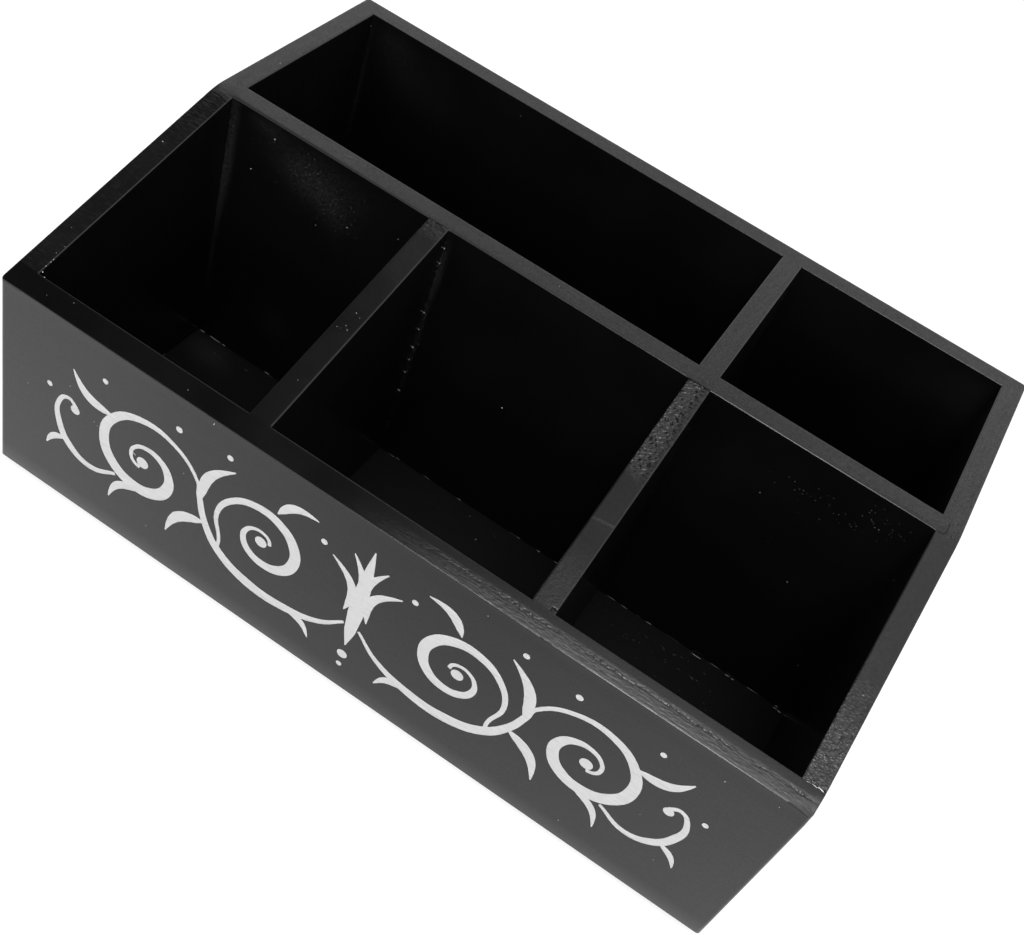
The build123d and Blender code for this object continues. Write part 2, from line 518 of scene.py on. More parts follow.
frontRim = {  # the front panel's rim, with places across it from 0 in front to 1 inside
    "wornAlong": (-25, 70),  # where along X the wear begins and where it is full
    "wornAcross": (0.52, 0.66),  # where it ends
    "rubbedDown": 0.38,
    "fibres": [(1.0, 2.2, 0.30, 1.3), (0.7, 1.3, 0.20, 4.1), (0.4, 14, 0.40, 9.1)],
    "fibresFrom": (0.2, 0.8),  # behind the front
    "fibreDepth": 0.070,
    "sway": [(0.3, 20, 1, 7.0)],
    "teeth": [(0.060, 1.2, 1, 8.8), (0.05, 4, 1, 6.6)],
    "ring": 0.46,  # a torn line that wanders along the rim
    "ringSway": [(0.09, 30, 1, 2.2)],
    "ringHalf": 0.024,
    "ringParts": [(1.0, 12, 1, 5.5)],
    "loop": 0.035,  # loops beside it
    "loopSway": [(0.10, 1.7, 1, 12.5)],
    "loopHalf": 0.020,
    "loopParts": [(1.0, 6, 1, 13.5)],
    "tornDepth": 0.20,
    "wave": [(1.0, 12, 0.5, 3.3)],
    "waveDepth": 0.006,
    "worn": (0.34, 0.34, 0.50),  # all over, more of it towards the front, and in the fibres
    "frontPart": (0.15, 0.55),
}


def ridge(off, half):  # 1 on a line, 0 a few halves off it
    return math.exp(-((off / half) ** 2))


def frontRimRelief(x, y):
    plan = frontRim
    across = (y - box["front"]) / box["wall"]
    right = smooth(x, *plan["wornAlong"])
    band = 1 - smooth(across, *plan["wornAcross"])
    start, full = plan["fibresFrom"]
    lines = grains(x, y + grains(x, 0, plan["sway"]), plan["fibres"])
    lines *= smooth(y, box["front"] + start, box["front"] + full)
    ringAt = plan["ring"] + grains(x, 0, plan["ringSway"]) + grains(x, 0, plan["teeth"])
    ring = ridge(across - ringAt, plan["ringHalf"]) * smooth(grains(x, 0, plan["ringParts"]), -0.3, 0.0)
    loopAt = ringAt + plan["loop"] + grains(x, 0, plan["loopSway"])
    loop = ridge(across - loopAt, plan["loopHalf"]) * smooth(grains(x, 0, plan["loopParts"]), 0.0, 0.25)
    torn = min(ring + loop, 1.0)
    rough = plan["fibreDepth"] * (lines + 0.8) + plan["tornDepth"] * torn
    depth = plan["rubbedDown"] * right * (1 - across) ** 2 + right * band * rough
    depth += plan["waveDepth"] * (1 + grains(x, y, plan["wave"]))
    everywhere, inFront, inFibres = plan["worn"]
    outer = 1 - smooth(across, *plan["frontPart"])
    worn = right * band * (everywhere + inFront * outer + inFibres * lines) * (1 - torn)
    return depth, worn


endGrain = {  # fibres torn across a board and small pits
    "fibreWidths": (0.36, 0.27),
    "fibreDepth": 0.075,
    "pitSize": (0.55, 0.40),
    "pitDepth": 0.09,
    "worn": (0.20, 0.6),  # all over, and in the fibres
}


def endGrainRelief(x, y, amount, seed, reach=1.7):
    wide, narrow = endGrain["fibreWidths"]
    fibre = grains(x, y, [(1.0, reach, wide, seed), (0.8, reach / 2, narrow, seed + 3.1)])
    pits = smooth(grains(x, y, [(1.0, *endGrain["pitSize"], seed + 6.2)]), 0.15, 0.45)
    rough = endGrain["fibreDepth"] * (fibre + 0.9) + endGrain["pitDepth"] * pits
    everywhere, inFibres = endGrain["worn"]
    return amount * rough, amount * (everywhere + inFibres * fibre)


sideRims = {  # amounts of torn end grain on the side panels' rims
    "level": 0.07,
    "plain": 0.10,
    "patches": [(1.0, 7, 7, 3.0)],
    "patchGain": 0.12,
    "leftTop": (-6, 13, 0.34),  # middle, half length, gain
    "leftLines": [(1.0, 5, 0.34, 14.0), (0.6, 2.5, 0.9, 15.0)],
    "leftWorn": (0.14, 0.36),  # all over, and near the top
    "leftLow": 0.03,
    "rightLow": (-80, -34, 0.85),  # from, to, gain
    "rightFore": (-84, -50),
    "foreGain": 0.9,
    "reach": (4.5, 1.7),  # length of the fibres, left and right
    "seed": (11.0, 2.0),
}


def leftRimRelief(x, y):
    plan = sideRims
    middle, half, gain = plan["leftTop"]
    light = levelled(plan["plain"] + gain * ridge(y - middle, half), y)
    depth, _ = endGrainRelief(x, y, light, plan["seed"][0], plan["reach"][0])
    everywhere, high = plan["leftWorn"]
    worn = max(0.0, grains(x, y, plan["leftLines"])) * (everywhere + high * ridge(y - middle, half + 1))
    return depth, worn + plan["leftLow"] * (1 - smooth(y, -60, -20))


def rightRimRelief(x, y):
    plan = sideRims
    patches = 0.5 + grains(x, y, plan["patches"])
    start, end, gain = plan["rightLow"]
    low = gain * (1 - smooth(y, start, end)) * (0.75 + 0.4 * patches)
    light = levelled(plan["plain"] + plan["patchGain"] * patches + low, y)
    depth, worn = endGrainRelief(x, y, light, plan["seed"][1], plan["reach"][1])
    fore = 1 - smooth(y, *plan["rightFore"])
    return depth * (1 + plan["foreGain"] * fore), worn * (1 + 0.5 * fore) + 0.06 * fore


def levelled(light, y):  # the level part of the rim has less of it
    return light + (sideRims["level"] - light) * smooth(y, box["kink"] - 1.5, box["kink"] + 1.5)


rightDivider = {
    "torn": (0.06, 0.20),  # amount of torn end grain, all along and more in front
    "foreWorn": 0.15,
    "seed": 31.0,
    "pebbles": 0.26,  # depth of the lumps behind
    "lumps": [(1.0, 1.7, 0.75, 21.0)],  # aslant
    "pimples": [(0.5, 0.6, 0.42, 25.0)],
    "scratch": (-59.2, 0.20, 0.09),  # place, half width and depth of a cut across it
    "notch": 0.9,  # depth of the chipped corner at its front end
    "sunk": 0.30,  # how far it lies under the front panel's rim
}


def rightDividerRelief(x, y):
    plan = rightDivider
    aside = x - rightStart
    rear = smooth(y + 0.35 * aside, -40, -34)
    fore = 1 - smooth(y, -84, -66)
    across = aside / (rightEnd - rightStart)
    lumps = grains(x + 0.5 * y, y - 0.5 * x, plan["lumps"]) + grains(x, y, plan["pimples"])
    pebble = rear * (1 - 0.75 * smooth(across, 0.55, 0.90)) * plan["pebbles"] * (lumps + 0.8)
    allAlong, inFront = plan["torn"]
    depth, worn = endGrainRelief(x, y, allAlong + inFront * fore, plan["seed"])
    worn += plan["foreWorn"] * fore
    place, half, deep = plan["scratch"]
    scratch = deep * ridge(y - place - 0.12 * aside, half)
    notch = plan["notch"] * smooth(x, rightEnd - 2.3, rightEnd - 1.7)
    notch *= 1 - smooth(y, innerFront + 1.3, innerFront + 1.9)
    return depth + pebble + scratch + notch + plan["sunk"], worn + rear * 0.3 * (lumps + 0.1)


leftDivider = {
    "rear": (-6, 0.5),  # where the lumps begin
    "lumps": [(1.0, 0.9, 0.9, 41.0)],
    "lumpDepth": 0.08,
    "fine": [(1.0, 2.2, 0.5, 43.0)],
    "fineDepth": 0.010,
}


def leftDividerRelief(x, y):
    plan = leftDivider
    rear = smooth(y, *plan["rear"])
    lumps = grains(x, y, plan["lumps"])
    depth = plan["fineDepth"] * (1 + grains(x, y, plan["fine"])) + rear * plan["lumpDepth"] * (lumps + 0.8)
    return depth, 0.3 * rear * (lumps + 0.4)


scratches = [  # on the centre divider's top: start, end, half width and depth, in millimetres
    ((-97.0, 6.6), (-90.6, 8.8), 0.16, 0.05),
    ((-95.6, 5.0), (-89.6, 7.0), 0.14, 0.04),
]


def scratchDepth(x, y):
    depth = 0.0
    for (x0, y0), (x1, y1), width, deep in scratches:
        long = math.hypot(x1 - x0, y1 - y0)
        along = ((x - x0) * (x1 - x0) + (y - y0) * (y1 - y0)) / long
        aside = ((y - y0) * (x1 - x0) - (x - x0) * (y1 - y0)) / long
        inside = smooth(along, -0.3, 0.6) * (1 - smooth(along, long - 0.6, long + 0.3))
        depth += deep * inside * math.exp(-((aside / width) ** 2))
    return depth


plainWood = {  # plain long edges and broad faces
    "sunk": 0.02,
    "streakDepth": 0.009,
    "streaks": [(1.0, 16, 0.7, 51.0), (0.4, 5, 0.35, 52.0)],
    "crossStreaks": [(1.0, 0.7, 16, 61.0), (0.4, 0.35, 5, 62.0)],
    "scratchWear": 9,
    "faceDepth": 0.045,
}


def alongXRelief(x, y):  # the long edge of a board with its grain along X
    scratch = scratchDepth(x, y)
    streak = grains(x, y, plainWood["streaks"])
    depth = plainWood["sunk"] + plainWood["streakDepth"] * (1 + streak) + scratch
    return depth, plainWood["scratchWear"] * scratch


def alongYRelief(x, y):
    return plainWood["sunk"] + plainWood["streakDepth"] * (1 + grains(x, y, plainWood["crossStreaks"])), 0.0


def faceRelief(point, normal):  # the flat sides are a little wavy along their grain
    x, y, z = point
    if abs(normal.y) > abs(normal.x):
        wave = grain(x, y, z, 70, 40, 22, 71.0) + 0.25 * grain(x, y, z, 22, 9, 5, 72.0)
    else:
        wave = grain(x, y, z, 40, 70, 22, 73.0) + 0.25 * grain(x, y, z, 9, 22, 5, 74.0)
    return plainWood["faceDepth"] * (1 + 0.7 * wave)


hazeAndSheenPatches = {  # dust, dried glue and painted sheen on faces that look to the front: x, z, half length, half width, tilt, strength
    "centre_divider": [
        # the broad patches are haze with painted sheen, the narrow upright bands (tilt 90) painted
        # reflections of the rounded corners
        (-110, 107, 19, 13, -8, 0.09), (-97, 104, 18, 14, -14, 0.08), (-82, 110, 20, 11, 4, 0.03),
        (-93, 100, 30, 20, -20, 0.03), (-107, 104, 13, 9, -20, 0.09), (-94, 98, 12, 8, -40, 0.09),
        (-126, 115, 9, 4, 0, 0.12), (-108.6, 30, 10.5, 10.5, 0, 0.10), (-140.4, 96, 34, 3.2, 90, 0.34),
        (-141.0, 60, 40, 1.4, 90, 0.20), (-47.6, 100, 18, 2.2, 90, 0.26), (-47.9, 66, 44, 1.2, 90, 0.18),
    ],
    "back_panel": [
        # the narrow upright band is a painted reflection of a rounded corner, the others haze with painted
        # sheen
        (-141.2, 84, 36, 1.6, 90, 0.16), (-129, 110, 15, 9, -12, 0.08), (-113, 101, 24, 15, -10, 0.05),
        (134, 108, 15, 11, 8, 0.07), (138, 93, 8, 18, 0, 0.04),
    ],
    "base_board": [  # here x and y
        # lighter floor patches: haze with painted reflection
        (-130, -6, 15, 8.5, -12, 1.6), (92, -30, 62, 44, 0, 0.75), (0, -35, 58, 50, 0, 0.9),
    ],
}


def hazeAndSheenAt(name, across, high):  # dust and dried glue, with painted sheen, at a place of a board
    found = 0.0
    for x, z, length, width, tilt, strength in hazeAndSheenPatches.get(name, ()):
        turn = math.radians(tilt)
        along = (across - x) * math.cos(turn) + (high - z) * math.sin(turn)
        aside = (high - z) * math.cos(turn) - (across - x) * math.sin(turn)
        reach = math.hypot(along / length, aside / width)
        found += strength * (1 - smooth(reach, 0.0, 1.25))
    return found


partings = {  # widths of open seams, and how far from them a board's end moves
    "foreEnd": 0.42,
    "dividerEnd": 0.12,
    "housing": 0.17,
    "reach": 1.2,
}


def partingOf(name, place):  # how far boards stand apart where the paint has left a seam open
    x, y, z = place
    reach = partings["reach"]
    if name == "right_side_panel" and y < innerFront + reach:
        gap = partings["foreEnd"] * smooth(x, innerRight - 0.5, innerRight + 5) * smooth(z, 66, 86)
        return Vector((0, gap * (1 - (y - innerFront) / reach), 0))
    if name == "front_right_divider" and y > centreFront - reach:
        gap = -partings["dividerEnd"] * smooth(z, 60, 90)
        return Vector((0, gap * (1 - (centreFront - y) / reach), 0))
    if name == "centre_divider" and x > innerRight:
        away = partings["housing"] * smooth(z, 100, 114) * smooth(x, innerRight, innerRight + 0.8)
        away *= 1 - smooth(y, centreFront + 4.5, centreFront + 7.5)
        return Vector((-away, away * (1 - smooth(y, centreFront, centreFront + 2)), 0))
    return Vector()


def cornerWear(place):  # the rubbed top corner at the front right
    x, y = box["wornCorner"]
    near = max(0.0, 1 - math.hypot(place.x - x, place.y - y) / box["wornReach"])
    above = max(0.0, 1 - (rimHeight(place.y, place.x) - place.z) / box["wornDown"])
    return Vector(box["wornBy"]) * (near * above) ** 2


surface = {  # between which values a relief sets in or fades
    "upward": (0.2, 0.8),  # the upright share of the normal, for what belongs to the rim
    "under": (1.5, 8),  # millimetres under the rim, where its relief ends
    "faces": (0.5, 3),  # and where the broad faces' own relief begins
    "kink": 2,  # to each side of the kink, where the direction changes
    "housing": (-3, 0.5),  # from the inner face of a side panel, for the centre divider's ends
}


def sinkSurface(bm, name, topRelief):  # pushes what shows inwards by its relief, and marks wear, and haze with painted sheen
    layers = bm.verts.layers.float
    worn, hazeAndSheen = layers.new("worn"), layers.new("hazeAndSheen")
    bm.normal_update()
    hidden = {face: not isShown(face) for face in bm.faces}
    moves = []
    for vert in bm.verts:
        shown = [face for face in vert.link_faces if not hidden[face]]
        if not shown:
            continue
        facing = Vector()
        for face in shown:
            facing += face.normal * (face.calc_area() ** 0.5)
        if facing.length < 1e-9:
            continue
        facing.normalize()
        upward = smooth(facing.z, *surface["upward"])
        top, wear = topRelief(vert.co.x, vert.co.y)
        if name == "centre_divider":  # its ends are sanded with the side panels
            lower = rimHeight(vert.co.y) - rimHeight(vert.co.y, box["right"])
            start, end = surface["housing"]
            top += lower * smooth(abs(vert.co.x), innerRight + start, innerRight + end)
        lean = slope * (1 - smooth(vert.co.y, box["kink"] - surface["kink"], box["kink"] + surface["kink"]))
        below = rimHeight(vert.co.y, vert.co.x) - vert.co.z
        sunk = -top * (1 - smooth(below, *surface["under"]))
        move = Vector((0, -math.sin(lean), math.cos(lean))) * sunk
        waved = (1 - upward) * faceRelief(vert.co, facing) * smooth(below, *surface["faces"])
        move -= facing * waved
        moves.append((vert, move))
        vert[worn] = max(0.0, upward * wear)
        if facing.y < -0.5:
            # haze with painted sheen, on faces that look to the front
            vert[hazeAndSheen] = hazeAndSheenAt(name, vert.co.x, vert.co.z)
    for vert, move in moves:
        vert.co += move
    for vert in bm.verts:
        vert.co += partingOf(name, vert.co) + cornerWear(vert.co)


boardPlan = {  # pitches of the cuts along a board and across its rim, and a stretch with closer cuts
    "front_panel": {
        "along": 0, "pitch": 0.6, "rimPitch": 0.17, "finest": (18.0, 149.5, 0.4), "relief": frontRimRelief,
    },
    "back_panel": {"along": 0, "pitch": 1.5, "rimPitch": 0.6, "relief": alongXRelief},
    "left_side_panel": {"along": 1, "pitch": 0.3, "fineTo": 12, "rimPitch": 0.45, "relief": leftRimRelief},
    "right_side_panel": {"along": 1, "pitch": 0.25, "fineTo": 12, "rimPitch": 0.25, "relief": rightRimRelief},
    "centre_divider": {
        "along": 0, "pitch": 1.0, "rimPitch": 0.25, "rows": 3.0, "finest": (-98.0, -88.5, 0.22),
        "relief": alongXRelief,
    },
    "front_left_divider": {"along": 1, "pitch": 0.45, "rimPitch": 0.45, "relief": leftDividerRelief},
    "front_right_divider": {"along": 1, "pitch": 0.25, "rimPitch": 0.25, "relief": rightDividerRelief},
    "rear_cross_divider": {"along": 1, "pitch": 1.2, "rimPitch": 0.6, "relief": alongYRelief},
}
rowDepths = (1.0, 2.2, 4.2, 7.0)  # rows close under the rim keep the broad faces flat
coarse = {"rows": 7.5, "firstRow": 1.2, "pitch": 1.5}  # of the cuts elsewhere


def makeBoard(name, plan, paint):
    bm = block([*spans[name][:2], (box["foot"], box["backTop"])])
    if name == "left_side_panel":
        cutHousing(bm, innerLeft, -1)
    if name == "right_side_panel":
        cutHousing(bm, innerRight, 1)
    if name == "centre_divider":
        roundHousedEnds(bm)
    if spans[name][1][0] < box["kink"]:
        cutTop(bm, box["kinkEase"] if "side" in name else box["kinkSharp"])
    for place in joints.get(name, ()):
        cutAt(bm, wayOf(0) * place, wayOf(0))
    bm.normal_update()
    easeEdges(bm, box["rimFlat"].get(name, box["rimEase"]))
    bm.normal_update()
    for depth in rowDepths:
        cutAt(bm, slopePoint - slopeNormal * depth, slopeNormal)
        cutAt(bm, up * (box["backTop"] - depth), up)
    for height in steps(box["foot"] + coarse["firstRow"], box["backTop"], plan.get("rows", coarse["rows"])):
        cutAt(bm, up * height, up)
    bm.normal_update()
    along = plan["along"]
    other = 1 - along
    tops = [face for face in bm.faces if face.normal.z > 0.5 and isShown(face)]
    start, end = spans[name][other]
    ease = box["rimEase"]
    sliceAlong(bm, tops, other, steps(start + ease, end - ease, plan["rimPitch"]))
    bm.normal_update()
    shown = [face for face in bm.faces if isShown(face)]
    start, end = spans[name][along]
    fine = min(plan.get("fineTo", end), end)
    places = steps(start, fine, plan["pitch"]) + steps(fine, end, coarse["pitch"])
    if "finest" in plan:
        places = sorted(places + steps(*plan["finest"]))
    sliceAlong(bm, shown, along, places)
    sinkSurface(bm, name, plan["relief"])
    piece = makePiece(name + "_dressed", bm, "black_paint", paint)
    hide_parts(name)
    print("organizer:", name, len(piece.data.polygons), "faces")
    return piece


paint = {
    "black": (0.0018, 0.0030),  # grey of the boards along X and along Y, as light, not as written
    "light": 0.40,  # grey of dust, to which wear, haze with painted sheen, grit and clouds are shares
    "worn": 0.14,
    # share of haze: dust and glue, with painted sheen
    "hazeAndSheen": 0.075,
    "grit": 0.002,  # on what faces up
    "clouds": 0.002,
    "specks": (3.0, 0.012, 0.17),  # their spacing, the share of places that have one, and their size
    "specular": 0.5,
    "specularSpread": 0.08,  # how much it changes from spot to spot
    "fleck": 0.18,  # and how much more it does on level rims
    "roughness": 0.21,
    "roughnessSpread": (-0.03, 0.04),
    "wornRoughness": 0.06,
    "grainLong": 22.0,  # millimetres between changes along the grain
    "grainWide": 0.55,
    "peel": 0.45,  # size of the paint's orange peel
    "peelShare": 0.35,
    "smoke": 0.9,
    "cloudSize": 35.0,
    "relief": 0.012,
}


def specks(tree, spread, share, size):  # a few small round specks, 1 in them and 0 elsewhere
    cells = addNode(tree, "ShaderNodeTexVoronoi")
    cells.inputs["Scale"].default_value = 1.0
    tree.links.new(mapped(tree, (spread,) * 3), cells.inputs["Vector"])
    near = sums(tree, "LESS_THAN", cells.outputs["Distance"], size / spread)
    parts = addNode(tree, "ShaderNodeSeparateColor")
    tree.links.new(cells.outputs["Color"], parts.inputs[0])
    chosen = sums(tree, "LESS_THAN", parts.outputs[0], share)
    return times(tree, near, chosen)


def facingUp(tree, low, high):  # 0 below one upright share of the normal, 1 above the other
    parts = addNode(tree, "ShaderNodeSeparateXYZ")
    tree.links.new(addNode(tree, "ShaderNodeNewGeometry").outputs["Normal"], parts.inputs[0])
    return ranged(tree, parts.outputs["Z"], low, high, 0.0, 1.0)


def markOf(tree, name):  # a value that the mesh carries at each vertex
    return addNode(tree, "ShaderNodeAttribute", attribute_name=name).outputs["Fac"]


def blackPaint(name, grainAxis):
    black = paint["black"][min(grainAxis, 1)]
    made, tree, shader = newMaterial(name, (black,) * 3, paint["roughness"])
    spread = [paint["grainLong"] if i == grainAxis else paint["grainWide"] for i in range(3)]
    lines = noiseOn(tree, spread, 4.0, 0.6)
    peel = noiseOn(tree, (paint["peel"],) * 3, 2.0)
    smoke = noiseOn(tree, (paint["smoke"],) * 3, 4.0, 0.8)
    clouds = noiseOn(tree, (paint["cloudSize"],) * 3, 3.0)
    worn, hazeAndSheen = markOf(tree, "worn"), markOf(tree, "hazeAndSheen")
    rubbed = times(tree, worn, ranged(tree, lines, 0.35, 0.65, 0.6, 1.0))
    rubbed = times(tree, rubbed, paint["worn"])
    mottle = times(tree, ranged(tree, smoke, 0.3, 0.7, -0.1, 2.1), ranged(tree, peel, 0.3, 0.7, 0.4, 1.6))
    # haze lightens the paint: dust and glue, with painted sheen
    dustAndSheen = times(tree, times(tree, hazeAndSheen, mottle), paint["hazeAndSheen"])
    light = plus(tree, plus(tree, rubbed, dustAndSheen), specks(tree, *paint["specks"]))
    light = plus(tree, light, ranged(tree, clouds, 0.3, 0.7, 0.0, paint["clouds"]))
    grit = plus(tree, ranged(tree, peel, 0.3, 0.7, -0.9, 0.9), ranged(tree, lines, 0.3, 0.7, -0.25, 0.25))
    risen = times(tree, facingUp(tree, 0.5, 0.9), paint["grit"])
    light = plus(tree, light, times(tree, risen, plus(tree, grit, 1.0)))
    share = plus(tree, times(tree, facingUp(tree, 0.97, 0.99), paint["fleck"]), paint["specularSpread"])
    shine = plus(tree, times(tree, grit, share), paint["specular"])
    tree.links.new(shine, shader.inputs["Specular IOR Level"])
    greyBetween(tree, shader, light, black, paint["light"])
    less, more = paint["roughnessSpread"]
    gloss = ranged(tree, clouds, 0.3, 0.7, paint["roughness"] + less, paint["roughness"] + more)
    rough = times(tree, plus(tree, worn, hazeAndSheen), paint["wornRoughness"])
    tree.links.new(plus(tree, gloss, rough), shader.inputs["Roughness"])
    bumped(tree, shader, plus(tree, lines, times(tree, peel, paint["peelShare"])), paint["relief"])
    return made


baseLook = {
    "grey": 0.004,
    "dark": 0.0050,
    "specular": 0.12,
    "roughness": 0.5,
    "streaks": (14, 0.5, 0.5),
    # share of haze on the floor: dust, with painted reflection
    "hazeAndSheen": 0.024,
    "specks": (3.0, 0.05, 0.17),
    "relief": 0.02,
}


def basePaint():
    made, tree, shader = newMaterial("basePaint", (baseLook["grey"],) * 3, baseLook["roughness"])
    shader.inputs["Specular IOR Level"].default_value = baseLook["specular"]
    streaks = noiseOn(tree, baseLook["streaks"], 4.0, 0.65)
    # the floor's haze: dust, with painted reflection
    dustAndSheen = times(tree, markOf(tree, "hazeAndSheen"), ranged(tree, streaks, 0.3, 0.7, 0.0, baseLook["hazeAndSheen"]))
    light = plus(tree, dustAndSheen, specks(tree, *baseLook["specks"]))
    greyBetween(tree, shader, light, baseLook["dark"], paint["light"])
    bumped(tree, shader, streaks, baseLook["relief"])
    return made


steelLook = {
    "color": (0.55, 0.55, 0.56),
    "roughness": 0.35,
    "scratches": (0.12, 2.0, 0.12),
    "scratched": (0.28, 0.45),  # least and most roughness
    "greys": (0.56, 0.34),  # bright and tarnished
    "relief": 0.01,
}


def bradSteel():
    made, tree, shader = newMaterial("bradSteel", steelLook["color"], steelLook["roughness"])
    shader.inputs["Metallic"].default_value = 1.0
    scratches = noiseOn(tree, steelLook["scratches"], 2.0)
    tarnish = noiseOn(tree, (0.8, 0.8, 0.8), 3.0)
    greyBetween(tree, shader, ranged(tree, tarnish, 0.35, 0.7, 0.0, 1.0), *steelLook["greys"])
    tree.links.new(ranged(tree, scratches, 0.3, 0.7, *steelLook["scratched"]), shader.inputs["Roughness"])
    bumped(tree, shader, scratches, steelLook["relief"])
    return made


dustLook = {"grey": 0.06, "greys": (0.02, 0.13), "roughness": 0.7, "clumps": 0.9, "relief": 0.02}


def dimDust():
    made, tree, shader = newMaterial("dimDust", (dustLook["grey"],) * 3, dustLook["roughness"])
    clumps = noiseOn(tree, (dustLook["clumps"],) * 3, 3.0)
    greyBetween(tree, shader, ranged(tree, clumps, 0.3, 0.7, 0.0, 1.0), *dustLook["greys"])
    bumped(tree, shader, clumps, dustLook["relief"])
    return made


silverLook = {
    "grey": 0.62,
    "greys": (0.44, 0.72),  # between streaks and on them
    "roughness": 0.42,
    "streaks": (9.0, 0.30, 0.16),
    "gaps": (3.2, 0.2, 0.12),  # thin places
    "thin": 0.35,
    "relief": 0.01,
}


def silverPaint():
    made, tree, shader = newMaterial("silverPaint", (silverLook["grey"],) * 3, silverLook["roughness"])
    streaks = noiseOn(tree, silverLook["streaks"], 4.0, 0.7)
    gaps = noiseOn(tree, silverLook["gaps"], 2.0)
    thin = ranged(tree, gaps, 0.60, 0.74, 0.0, silverLook["thin"])
    light = sums(tree, "SUBTRACT", ranged(tree, streaks, 0.28, 0.66, 0.0, 1.0), thin)
    greyBetween(tree, shader, light, *silverLook["greys"])
    bumped(tree, shader, streaks, silverLook["relief"])
    return made


paintAlongX = blackPaint("blackPaintAlongX", 0)
paintAlongY = blackPaint("blackPaintAlongY", 1)
beadPaint = blackPaint("blackPaintPooled", 2)
basePainted = basePaint()
steel = bradSteel()
silver = silverPaint()
dustAndSheen = dimDust()
for name in ("wall_brads", "base_brads"):
    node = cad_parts[name]
    node.data.materials.clear()
    node.data.materials.append(steel)
for name, plan in boardPlan.items():
    makeBoard(name, plan, (paintAlongX, paintAlongY)[plan["along"]])


basePlan = {
    "pitch": 2.4,
    "cornerRadius": 2.0,
    "cornerFacets": 5,
    "edgeEase": 0.4,
    "edgeFacets": 2,
    "raise": 0.05,  # the brads' heads stand below it
    "sag": 0.03,  # it is slightly wavy between the walls
    "wave": [(1.0, 40, 18, 81.0)],
}


def makeBase():
    spanX, spanY, (bottom, top) = spans["base_board"]
    bm = block([spanX, spanY, (bottom + basePlan["raise"], top)])
    posts = [edge for edge in bm.edges if isUpright(edge)]
    roundOff(bm, posts, basePlan["cornerRadius"], basePlan["cornerFacets"])
    rims = [edge for edge in bm.edges if not isUpright(edge)]
    roundOff(bm, rims, basePlan["edgeEase"], basePlan["edgeFacets"])
    sliceAlong(bm, bm.faces[:], 0, steps(*spanX, basePlan["pitch"]))
    sliceAlong(bm, bm.faces[:], 1, steps(*spanY, basePlan["pitch"]))
    hazeAndSheen = bm.verts.layers.float.new("hazeAndSheen")
    for vert in bm.verts:
        x, y, z = vert.co
        # haze with painted reflection on the floor
        vert[hazeAndSheen] = hazeAndSheenAt("base_board", x, y)
        if z > top - sameWithin and not inWood(Vector((x, y, box["foot"] + 0.1))):
            vert.co.z -= basePlan["sag"] * (1 + grains(x, y, basePlan["wave"]))
    piece = makePiece("base_board_dressed", bm, "base_paint", basePainted)
    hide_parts("base_board")


makeBase()
print("organizer: base board made")


def addBall(bm, facets, matrix):
    bmesh.ops.create_uvsphere(bm, u_segments=facets[0], v_segments=facets[1], radius=1, matrix=matrix)


dropPlan = {  # drops of glue and paint that dried in the corners of the compartments, in millimetres
    "gap": 34.0,  # most of the space from one drop to the next
    "close": {  # compartment, post or foot, corner: a closer row
        (1, "post", 3): 4.4,
        (0, "post", 3): 90.0,
        (3, "post", 3): 7.0,
        (0, "foot", 2): 9.0,
        (2, "foot", 2): 8.0,
        (1, "foot", 2): 22.0,
    },
    "length": (0.5, 3.2),
    "thick": (0.14, 0.40),
    "clear": 2.0,  # none this near the end of a corner
    "facets": (10, 7),
}


def makeDrops():
    chance = random.Random(11)
    bm = bmesh.new()
    for bay, ((x0, x1), (y0, y1)) in enumerate(bays):
        corners = [(x0, y0), (x1, y0), (x1, y1), (x0, y1)]
        for turn, (x, y) in enumerate(corners):
            low, high = Vector((x, y, box["foot"])), Vector((x, y, rimHeight(y) - dropPlan["clear"]))
            after = Vector((*corners[(turn + 1) % 4], box["foot"]))
            for kind, start, end in (("post", low, high), ("foot", low, after)):
                gap = dropPlan["close"].get((bay, kind, turn), dropPlan["gap"])
                addDrops(bm, start, end, gap, chance)
    print("organizer: corner drops made,", len(bm.faces), "faces")
    return makePiece("corner_drops", bm, "black_paint", beadPaint)


def addDrops(bm, start, end, gap, chance):  # long beads half sunk in the corner
    way = end - start
    turned = way.to_track_quat("Z", "Y").to_matrix().to_4x4()
    place = gap * chance.uniform(0.2, 0.8)
    while place < way.length - dropPlan["clear"]:
        half = chance.uniform(*dropPlan["length"]) * min(gap / 8, 1)
        thick = chance.uniform(*dropPlan["thick"])
        middle = Matrix.Translation(start + way.normalized() * place)
        shape = Matrix.Diagonal((thick, thick * chance.uniform(0.7, 1.2), half, 1))
        addBall(bm, dropPlan["facets"], middle @ turned @ shape)
        place += half + gap * chance.uniform(0.3, 1.2)


makeDrops()


